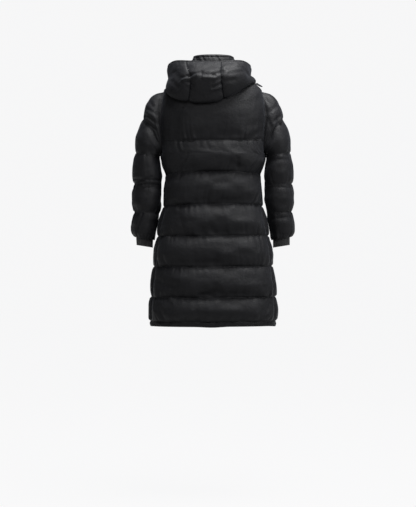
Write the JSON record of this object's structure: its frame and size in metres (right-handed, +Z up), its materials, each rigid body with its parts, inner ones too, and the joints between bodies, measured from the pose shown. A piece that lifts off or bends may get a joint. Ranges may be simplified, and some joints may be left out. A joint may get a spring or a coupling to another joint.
{
  "type": "long puffer coat",
  "caption": "A long black hooded puffer coat in wide quilted channels, zipped up, in its hollow worn form with the sleeves hanging and the hood down",
  "frame": {"origin": "on the neck's axis at the height of the collar seam at the centre back", "axes": "+Z up, the front faces -Y and the wearer's left is +X"},
  "size_m": [0.6378, 0.3441, 1.0408],
  "materials": {
    "shell": "matt nylon with a soft sheen, quilted over filling",
    "rib_knit": "rib knit",
    "zip_tape": "woven tape with a moulded chain",
    "zip_metal": "black lacquered die cast metal"
  },
  "bodies": {
    "coat": {"back": "shell", "front_left": "shell", "front_right": "shell", "sleeve_left": "shell", "sleeve_right": "shell", "collar": "shell", "hood_right": "shell", "hood_centre": "shell", "hood_left": "shell", "hood_edge": "shell", "hood_tab": "shell", "cuff_left": "rib_knit", "cuff_right": "rib_knit", "zip": "zip_tape", "zip_slider": "zip_metal"},
    "pull": {"zip_pull": "zip_metal"}
  },
  "joints": [
    {"name": "zip_pull_hinge", "type": "hinge", "parent": "coat", "child": "pull", "pos_m": [0, -0.08241, 0.01665], "axis": [-1, 0, 0], "range_deg": [0, 150]}
  ]
}
